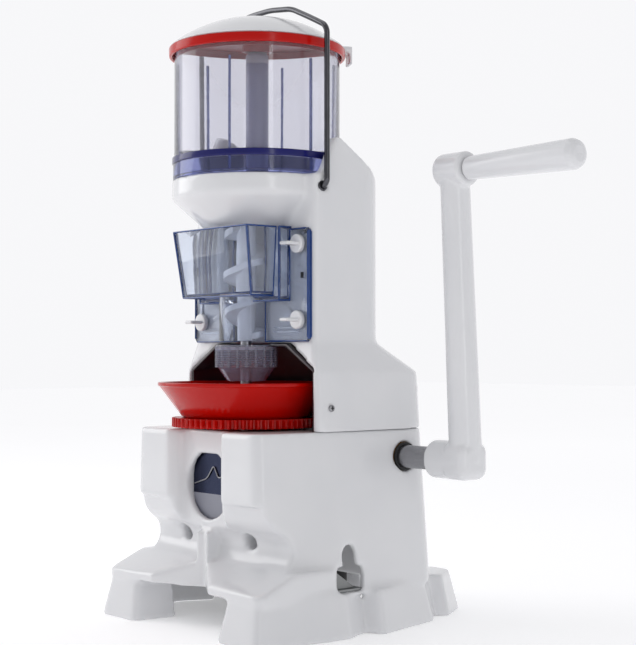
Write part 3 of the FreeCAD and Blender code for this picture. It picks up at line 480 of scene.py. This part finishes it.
class ICE_OT_hopper(PieceOperator, Operator):
    """Clear hopper with its foot band, ribs, navy ring and centre post"""
    bl_idname = "ice.hopper"
    bl_label = "Hopper"

    def make(self, sizes):
        bottom = low_mm("hopper")[2]
        top = high_mm("hopper")[2]
        ring = low_mm("hopper_ring")[2]
        foot = high_mm("hopper")[0]
        wall = 3
        side = foot - 1
        jar = lathe([(foot - 8, bottom), (foot, bottom), (foot, ring), (side, ring), (side, top),
                     (side - wall, top), (side - wall, bottom + wall), (foot - 8, bottom + wall)], rounding=0.5,
                    steps=128)
        for face in jar.faces:
            if face.calc_center_median().z < ring * MM:
                face.material_index = 1
        finish_piece("hopper_jar", jar, [hopper_clear(), foot_clear()], "root", ["hopper"])
        ribs = bmesh.new()
        count = 6
        first = 3
        height = top - bottom - 2 * wall - 11
        for i in range(count):
            turn = Matrix.Rotation(math.radians(first) + i * FULL_TURN / count, 4, "Z")
            place = Matrix.Translation(Vector((side - wall - 1.3, 0, bottom + wall + height / 2)) * MM)
            scale = Matrix.Diagonal((2.4 * MM, 1.8 * MM, height * MM, 1))
            bmesh.ops.create_cube(ribs, size=1, matrix=turn @ place @ scale)
        bmesh.ops.bevel(ribs, geom=ribs.edges[:], offset=0.4 * MM, offset_type="OFFSET", segments=2,
                        affect="EDGES", profile=0.5, material=-1)
        finish_piece("hopper_ribs", ribs, [rib_clear()], "root")
        low = low_mm("hopper_ring")
        high = high_mm("hopper_ring")
        band = lathe([(side + 0.1, low[2]), (high[0], low[2]), (high[0], high[2]), (side + 0.1, high[2])],
                     rounding=1.0, steps=128)
        finish_piece("hopper_band", band, [navy_abs()], "root", ["hopper_ring"])
        radius = high_mm("centre_post")[0]
        base, cap = low_mm("centre_post")[2], low_mm("post_cap")[2]
        post = lathe([(radius - 2, base), (radius, base), (radius, cap), (radius - 2, cap)], rounding=0.4)
        finish_piece("centre_tube", post, [grey_blue_plastic()], "root", ["centre_post"])
        tip = high_mm("post_cap")[2]
        crown = lathe([(0, cap), (radius, cap), (radius, tip - 3), (radius - 2.5, tip), (0, tip)], closed=False)
        finish_piece("centre_tube_cap", crown, [frost_plastic()], "root", ["post_cap"])


class ICE_OT_lid(PieceOperator, Operator):
    """Lid dome with its lift tab, red band and dark red liner"""
    bl_idname = "ice.lid"
    bl_label = "Lid"

    def make(self, sizes):
        moulded_shell("lid_cap", "lid_dome", white_abs(), 1.2, 6)
        low, high = low_mm("lid_ring"), high_mm("lid_ring")
        band = lathe([(high[0] - 3, low[2]), (high[0], low[2]), (high[0] + 0.3, high[2]), (high[0] - 3, high[2])],
                     rounding=1.0, steps=128)
        finish_piece("lid_band", band, [red_abs()], "lid", ["lid_ring"])
        low, high = low_mm("lid_liner"), high_mm("lid_liner")
        plate = high[2] - 2
        reach = high_mm("centre_post")[0] + 0.5
        skirt = high_mm("hopper")[0] - 8
        liner = lathe([(0, plate), (reach, plate), (reach, low[2]), (reach + 2.5, low[2]), (reach + 2.5, plate),
                       (skirt, plate), (skirt, low[2]), (skirt + 2, low[2]), (skirt + 2, plate), (high[0], plate),
                       (high[0], high[2]), (0, high[2])], rounding=0.3, steps=128, closed=False)
        finish_piece("lid_liner_moulding", liner, [dark_red_abs()], "lid", ["lid_liner"])


class ICE_OT_bail(PieceOperator, Operator):
    """Bent wire bail and its eyelets"""
    bl_idname = "ice.bail"
    bl_label = "Bail"

    def make(self, sizes):
        low, high = low_mm("bail"), high_mm("bail")
        radius = 2.5
        side = high[0] - radius
        eye = low[2] + radius
        top = high[2] - radius
        depth = (low[1] + high[1]) / 2
        half = [(82, eye), (side - 0.6, eye), (side - 0.6, top - 27), (72, top - 17), (44, top - 4), (14, top)]
        points = [(x, depth, z) for x, z in half] + [(-x, depth, z) for x, z in reversed(half)]
        finish_piece("bail_wire", wire(points, radius, 6), [plated_wire_painted_reflection()], "bail", ["bail"], 60)
        softened("bail_eyelet_rims", "bail_eyelets", plated_wire_painted_reflection(), 0.3)


class ICE_OT_chute(PieceOperator, Operator):
    """Clear blue chute with deep blue edges, and the fluted nozzle under it"""
    bl_idname = "ice.chute"
    bl_label = "Chute and nozzle"

    def make(self, sizes):
        bm = merged_copy("clear_chute")
        edged = bmesh.ops.bevel(bm, geom=sharp_edges(bm, 40), offset=sizes.edge_width * MM / 2,
                                offset_type="OFFSET", segments=2, affect="EDGES", profile=0.5, material=-1,
                                clamp_overlap=True)
        for face in edged["faces"]:
            face.material_index = 1
        low, high = Vector(low_mm("clear_chute")) * MM, Vector(high_mm("clear_chute")) * MM
        square_on = 0.9
        rim = 3 * MM
        for face in bm.faces:
            middle = face.calc_center_median()
            side = abs(face.normal.x) > square_on and abs(middle.x) > high.x - MM
            end = abs(face.normal.z) > square_on and (middle.z > high.z - rim or middle.z < low.z + MM)
            if side or end:
                face.material_index = 1
        self.beads()
        finish_piece("chute_moulding", bm, [chute_clear(), edge_clear()], "root",
                     ["clear_chute"])
        self.flange_marks()
        self.nozzle(sizes)

    def beads(self):
        """Thin rolled beads along the chute's long edges, where its blue tint collects."""
        bm = merged_copy("clear_chute")
        beads = bmesh.new()
        shortest = 12 * MM
        thick = 0.75 * MM
        for edge in sharp_edges(bm, 40):
            start, end = (vert.co for vert in edge.verts)
            run = end - start
            if run.length < shortest:
                continue
            turn = Vector((0, 0, 1)).rotation_difference(run.normalized()).to_matrix().to_4x4()
            bmesh.ops.create_cone(beads, cap_ends=True, segments=8, radius1=thick, radius2=thick, depth=run.length,
                                  matrix=Matrix.Translation((start + end) / 2) @ turn)
        bm.free()
        finish_piece("chute_edge_beads", beads, [edge_clear()], "root")

    def flange_marks(self):
        """Two raised bars at the flange's foot and a dark stop half way up each side."""
        low, high = low_mm("clear_chute"), high_mm("clear_chute")
        face = high[1] - 4
        marks = bmesh.new()
        for side in (1, -1):
            for x, z, wide, tall in ((54, low[2] + 8, 34, 1.2), (54, low[2] + 11.5, 34, 1.2)):
                size = Matrix.Diagonal((wide * MM, 0.8 * MM, tall * MM, 1))
                place = Matrix.Translation(Vector((side * x, face - 0.3, z)) * MM)
                bmesh.ops.create_cube(marks, size=1, matrix=place @ size)
            stop = Matrix.Translation(Vector((side * (high[0] - 7), face - 0.4, 303)) * MM)
            made = bmesh.ops.create_cube(marks, size=1, matrix=stop @ Matrix.Diagonal((3 * MM, 1 * MM, 5 * MM, 1)))
            for vert in made["verts"]:
                for part in vert.link_faces:
                    part.material_index = 1
        finish_piece("chute_flange_marks", marks, [chute_clear(), rubber()], "root")

    def nozzle(self, sizes):
        low, high = low_mm("ribbed_nozzle"), high_mm("ribbed_nozzle")
        axis = (0, centre_mm("spindle")[1])
        outer = high[0]
        inner = 21
        waist = low[2] + 12
        outline = [(inner - 7, low[2]), (inner - 4, low[2]), (outer - 2.5, waist)]
        rows = int((high[2] - waist - 3) / sizes.thread_pitch)
        for row in range(rows):
            base = waist + row * sizes.thread_pitch
            outline.append((outer - 0.9, base + sizes.thread_pitch * 0.35))
            outline.append((outer - 2.8, base + sizes.thread_pitch))
        outline += [(outer - 1.2, high[2] - 2), (outer - 1.2, high[2]), (inner, high[2]), (inner, waist)]
        body = lathe(outline, axis, rounding=0.15, steps=80)
        for i in range(sizes.flute_count):
            angle = i * FULL_TURN / sizes.flute_count
            reach = outer - 1.9
            height = high[2] - waist - 1
            place = Matrix.Translation(Vector((reach * math.cos(angle), axis[1] + reach * math.sin(angle),
                                               waist + height / 2)) * MM)
            bmesh.ops.create_cone(body, cap_ends=True, segments=8, radius1=1.5 * MM, radius2=1.5 * MM,
                                  depth=height * MM, matrix=place)
        body.normal_update()
        # Painted highlight: outer faces that face downward, above the waist, take the pale ring-highlight material.
        for face in body.faces:
            middle = face.calc_center_median()
            radius = math.hypot(middle.x, middle.y - axis[1] * MM)
            if radius > (outer - 2.9) * MM and face.normal.z < -0.2 and middle.z > waist * MM:
                face.material_index = 1
        clear = clear_plastic("clear_polycarbonate_nozzle", linear("D5D7E4"), linear("5C5C7C"), 0.08, 0.8)
        finish_piece("nozzle_moulding", body, [clear, nozzle_ring_painted_highlight()], "root",
                     ["ribbed_nozzle"], 30)


class ICE_OT_thumb_screws(PieceOperator, Operator):
    """Four white thumb screws"""
    bl_idname = "ice.thumb_screws"
    bl_label = "Thumb screws"

    def make(self, sizes):
        for i in range(1, 5):
            node = "thumb_screw_%d" % i
            softened(node + "_moulding", node, white_abs(), 0.3, 2, 50)


class ICE_OT_bowl(PieceOperator, Operator):
    """Turning bowl with its toothed ring, feed screw, spindle and blades"""
    bl_idname = "ice.bowl"
    bl_label = "Bowl and feed screw"

    def make(self, sizes):
        low, high = low_mm("bowl"), high_mm("bowl")
        axis = (0, centre_mm("bowl")[1])
        rim = high[0]
        floor = high_mm("bowl_ring")[2]
        foot = 56
        bowl = lathe([(5, low[2]), (12, low[2]), (12, floor), (foot - 1, floor), (foot + 1.5, floor + 2),
                      (rim - 1.5, high[2] - 3.5), (rim, high[2] - 3), (rim, high[2]), (rim - 3, high[2]),
                      (foot - 2, floor + 3), (12, floor + 3), (9, floor + 12), (5, floor + 12)], axis,
                     rounding=0.7, steps=160)
        finish_piece("bowl_moulding", bowl, [red_abs()], "turntable", ["bowl"])
        softened("bowl_ring_moulding", "bowl_ring", red_abs(), 0.35, 2, 25)
        softened("feed_screw", "auger", white_acetal(), 0.5, 2, 50)
        shaft = low_mm("spindle")
        rod = lathe([(0, shaft[2]), (5, shaft[2]), (5, high_mm("spindle")[2]), (0, high_mm("spindle")[2])], axis,
                    steps=48, closed=False)
        finish_piece("spindle_rod", rod, [turned_steel()], "turntable", ["spindle"])
        softened("shaving_blade_set", "shaving_blades", rolled_steel(), 0.15)


class ICE_OT_drive(PieceOperator, Operator):
    """Lay shaft, bevel pair, pinion, bushes, gear frame and bearing can"""
    bl_idname = "ice.drive"
    bl_label = "Drive train"

    def make(self, sizes):
        for node, mat in (("lay_shaft", turned_steel()), ("lay_bevel", turned_steel()), ("pinion", grey_plastic()),
                          ("crank_bevel", turned_steel()), ("gear_frame", rolled_steel()),
                          ("lay_bushes", bronze()), ("spindle_bushes", bronze()), ("crank_bushes", bronze()),
                          ("can_clip", plated_wire_painted_reflection()),
                          ("shaft_seal", rubber()), ("foot_pads", rubber()),
                          ("anchor_bracket_left", rolled_steel()), ("anchor_bracket_right", rolled_steel())):
            softened(node + "_finished", node, mat, 0.2, 2, 40)
        low, high = low_mm("bearing_can"), high_mm("bearing_can")
        sleeve = high_mm("can_clip")[2] + 2
        can = lathe([(8, low[2]), (high[0], low[2]), (high[0], sleeve), (high[0], high[2]), (28.5, high[2]),
                     (28.5, low[2] + 6), (8, low[2] + 6)], (0, centre_mm("bearing_can")[1]), 0.4)
        # The sleeve part above the clip takes the dark painted-reflection steel; below it is grey.
        for face in can.faces:
            if face.calc_center_median().z > sleeve * MM:
                face.material_index = 1
        self.window_plate()
        finish_piece("bearing_can_turned", can, [grey_plastic(), steel_painted_dark_reflection()], "root",
                     ["bearing_can"])


    def window_plate(self):
        """Plate behind the window: dark painted-reflection steel above, grey below, with a thin bright steel line
        across it that is a painted highlight.
        """
        low, high = low_mm("window_plate"), high_mm("window_plate")
        grey_height = 26
        split = low[2] + grey_height
        plate = bmesh.new()
        # The upper part of the plate takes the dark painted-reflection steel, the lower part grey.
        for bottom, top, index in ((low[2], split, 0), (split, high[2], 1)):
            size = Matrix.Diagonal(((high[0] - low[0]) * MM, (high[1] - low[1]) * MM, (top - bottom) * MM, 1))
            place = Matrix.Translation(Vector((0, (low[1] + high[1]) / 2, (bottom + top) / 2)) * MM)
            made = bmesh.ops.create_cube(plate, size=1, matrix=place @ size)
            for vert in made["verts"]:
                for face in vert.link_faces:
                    face.material_index = index
        finish_piece("window_plate_finished", plate, [grey_plastic(), steel_painted_dark_reflection()], "root",
                     ["window_plate"])
        # Painted highlight: a thin bright steel line just in front of the plate stands in for the glint across its
        # polished upper part.
        highlight_radius = 0.6
        front = low[1] - highlight_radius - 0.2
        points = [(-26, front, 122), (-8, front, 127), (2, front, 139), (9, front, 128), (26, front, 134)]
        finish_piece("window_plate_painted_highlight", wire(points, highlight_radius, 3), [turned_steel()], "root",
                     (), 60)


class ICE_OT_crank(PieceOperator, Operator):
    """Crank shaft, moulded arm, turning grip and its pin"""
    bl_idname = "ice.crank"
    bl_label = "Crank"

    def make(self, sizes):
        moulded_shell("crank_arm_moulding", "crank_arm", white_abs(), 1.1, 10)
        start, end = low_mm("crank_shaft"), high_mm("crank_shaft")
        axis = centre_mm("crank_shaft")
        radius = (end[2] - start[2]) / 2
        neck = 30 - start[0]
        length = end[0] - start[0]
        shaft = lathe([(0, 0), (6, 0), (6, neck), (radius, neck), (radius, length), (0, length)], rounding=0.6,
                      closed=False)
        aim(shaft, (1, 0, 0), (start[0], axis[1], axis[2]))
        finish_piece("crank_shaft_turned", shaft, [turned_steel()], "crank", ["crank_shaft"])
        self.grip()
        softened("grip_pin_turned", "grip_pin", turned_steel(), 0.3)
        softened("set_screw_turned", "crank_set_screw", turned_steel(), 0.2)

    def grip(self):
        low, high = low_mm("grip"), high_mm("grip")
        centre = centre_mm("grip")
        length = high[0] - low[0]
        big = (high[2] - low[2]) / 2
        small = big - 2.5
        outline = [(4.1, 0), (small - 0.4, 0), (small, 1.5), (big, length - 6), (big - 2, length - 1.8),
                   (big - 5.5, length), (0, length), (0, length - 7), (4.1, length - 7)]
        handle = lathe(outline, rounding=1.2, closed=False)
        bmesh.ops.holes_fill(handle, edges=handle.edges[:], sides=0)
        bmesh.ops.recalc_face_normals(handle, faces=handle.faces[:])
        aim(handle, (1, 0, 0), (low[0], centre[1], centre[2]))
        finish_piece("grip_moulding", handle, [white_abs()], "grip", ["grip"])


def screw_head(bm, place, direction, radius_mm, height_mm):
    """A pan head with a thin dark cross on its top as painted shade of the cross recess, its seat at place."""
    head = lathe([(0, 0), (radius_mm, 0), (radius_mm, height_mm * 0.55), (radius_mm * 0.6, height_mm),
                  (0, height_mm)], rounding=0.3, steps=32, closed=False)
    # Painted shade: the cross recess is a thin box cross set on the head in the second (black) material, not cut
    # into it.
    for turn in (0, 90):
        size = Matrix.Diagonal((radius_mm * 1.1 * MM, radius_mm * 0.26 * MM, 0.5 * MM, 1))
        slot = Matrix.Translation((0, 0, (height_mm + 0.02) * MM)) @ Matrix.Rotation(math.radians(turn), 4, "Z")
        made = bmesh.ops.create_cube(head, size=1, matrix=slot @ size)
        for vert in made["verts"]:
            for face in vert.link_faces:
                face.material_index = 1
    aim(head, direction, place)
    mesh = bpy.data.meshes.new("screw_head")
    head.to_mesh(mesh)
    head.free()
    bm.from_mesh(mesh)
    bpy.data.meshes.remove(mesh)


class ICE_OT_screws(PieceOperator, Operator):
    """Cross-head screws of the cheeks and the rear covers"""
    bl_idname = "ice.screws"
    bl_label = "Screws"

    def make(self, sizes):
        # The black rubber material paints the shade in the cross recesses.
        steel, shade = turned_steel(), rubber()
        low, high = low_mm("cheek_screws"), high_mm("cheek_screws")
        y, z = (low[1] + high[1]) / 2, (low[2] + high[2]) / 2
        cheeks = bmesh.new()
        for side in (1, -1):
            screw_head(cheeks, (side * (high[0] - 2), y, z), (side, 0, 0), 3, 1.9)
        finish_piece("cheek_screw_heads", cheeks, [steel, shade], "root", ["cheek_screws"])
        covers = bmesh.new()
        back = high_mm("rear_cover")[1]
        gear_back = high_mm("gear_cover")[1]
        for x, y, z in ((53, back, 262), (53, back, 352), (61, gear_back, 176), (61, gear_back, 208)):
            for side in (1, -1):
                screw_head(covers, (side * x, y, z), (0, 1, 0), 3, 2.2)
        finish_piece("cover_screw_heads", covers, [steel, shade], "root", ["cover_screws"])


class ICE_OT_stage(PieceOperator, Operator):
    """Pale floor, soft studio lights and the camera"""
    bl_idname = "ice.stage"
    bl_label = "Stage"

    def make(self, sizes):
        scene = bpy.context.scene
        bm = bmesh.new()
        bmesh.ops.create_grid(bm, x_segments=1, y_segments=1, size=8)
        mesh = bpy.data.meshes.new("studio_floor")
        bm.to_mesh(mesh)
        bm.free()
        floor = bpy.data.objects.new("studio_floor", mesh)
        scene.collection.objects.link(floor)
        mat, tree, shader = new_material("pale_matt_floor")
        shader.inputs["Roughness"].default_value = 0.9
        shader.inputs["Specular IOR Level"].default_value = 0.0
        tree.links.new(blended(tree, noise(tree, 400), linear("FBFBFC"), linear("F8F8F9")),
                       shader.inputs["Base Color"])
        shader.inputs["Emission Color"].default_value = (1, 1, 1, 1)
        place = add_node(tree, "ShaderNodeTexCoord")
        reach = add_node(tree, "ShaderNodeVectorMath", {"operation": "LENGTH"}, {0: place.outputs["Object"]})
        glow = add_node(tree, "ShaderNodeMapRange",
                        {"From Min": 0.4, "From Max": 2.5, "To Min": 0.25, "To Max": 0.33},
                        {"Value": reach.outputs["Value"]})
        tree.links.new(glow.outputs[0], shader.inputs["Emission Strength"])
        mesh.materials.append(mat)
        self.world(scene)
        self.lights(scene)
        self.camera(scene)
        scene.view_settings.view_transform = "Standard"

    def world(self, scene):
        world = bpy.data.worlds.new("soft_studio")
        scene.world = world
        world.use_nodes = True
        tree = world.node_tree
        tree.nodes.clear()
        # White ahead of the camera, dimmer behind it and overhead, so that the near sides fall into soft shade.
        place = add_node(tree, "ShaderNodeTexCoord")
        facing = add_node(tree, "ShaderNodeVectorMath", {"operation": "DOT_PRODUCT", 1: (-0.766, 0.643, -0.45)},
                          {0: place.outputs["Generated"]})
        power = add_node(tree, "ShaderNodeMapRange",
                         {"From Min": -0.9, "From Max": 0.75, "To Min": 0.5, "To Max": 0.96},
                         {"Value": facing.outputs["Value"]})
        glow = add_node(tree, "ShaderNodeBackground", {"Color": linear("FCFCFE")}, {"Strength": power.outputs[0]})
        add_node(tree, "ShaderNodeOutputWorld", links={"Surface": glow.outputs[0]})

    def lights(self, scene):
        # Key box at the left, a strip near the camera for long highlights, a weak top box.
        for name, place, power, wide, tall in (
                ("key_box", (-1.5, -0.9, 0.9), 8, 1.0, 1.4), ("edge_strip", (1.5, -0.5, 0.6), 2.0, 0.15, 1.6),
                ("top_box", (-0.2, -0.5, 1.9), 3, 1.2, 1.2)):
            light = bpy.data.lights.new(name, "AREA")
            light.shape = "RECTANGLE"
            light.size = wide
            light.size_y = tall
            light.energy = power
            lamp = bpy.data.objects.new(name, light)
            lamp.location = place
            aim_at = Vector((0, 0, 0.27)) - Vector(place)
            lamp.rotation_euler = aim_at.to_track_quat("-Z", "Y").to_euler()
            scene.collection.objects.link(lamp)

    def camera(self, scene):
        data = bpy.data.cameras.new("studio_camera")
        data.sensor_fit = "AUTO"
        data.sensor_width = 36
        data.lens = 80.93
        camera = bpy.data.objects.new("studio_camera", data)
        azimuth = math.radians(50)
        ahead = Vector((-math.sin(azimuth), math.cos(azimuth), 0))
        right = Vector((math.cos(azimuth), math.sin(azimuth), 0))
        camera.location = -ahead * 1.295 + right * 0.0545 + Vector((0, 0, 0.235))
        pitch = math.radians(1.28)
        look = ahead * math.cos(pitch) + Vector((0, 0, math.sin(pitch)))
        camera.rotation_euler = look.to_track_quat("-Z", "Y").to_euler()
        scene.collection.objects.link(camera)
        scene.camera = camera


class ICE_PT_panel(Panel):
    """Lists the pieces and their sizes and colours"""
    bl_idname = "ICE_PT_panel"
    bl_label = "Ice machine"
    bl_space_type = "VIEW_3D"
    bl_region_type = "UI"
    bl_category = "Ice Machine"

    def draw(self, context):
        for group in (context.scene.ice_sizes, context.scene.ice_finish):
            for name in group.__annotations__:
                self.layout.prop(group, name)
        for operator in OPERATORS:
            self.layout.operator(operator.bl_idname)


OPERATORS = (ICE_OT_stage, ICE_OT_housings, ICE_OT_hopper, ICE_OT_lid, ICE_OT_bail, ICE_OT_chute,
             ICE_OT_thumb_screws, ICE_OT_bowl, ICE_OT_drive, ICE_OT_crank, ICE_OT_screws)
CLASSES = (IceFinish, IceSizes, *OPERATORS, ICE_PT_panel)


def register():
    for item in CLASSES:
        bpy.utils.register_class(item)
    bpy.types.Scene.ice_finish = PointerProperty(type=IceFinish)
    bpy.types.Scene.ice_sizes = PointerProperty(type=IceSizes)


def unregister():
    del bpy.types.Scene.ice_finish
    del bpy.types.Scene.ice_sizes
    for item in reversed(CLASSES):
        bpy.utils.unregister_class(item)


def main():
    register()
    for operator in OPERATORS:
        group, call = operator.bl_idname.split(".")
        getattr(getattr(bpy.ops, group), call)()


if __name__ == "__main__":
    main()
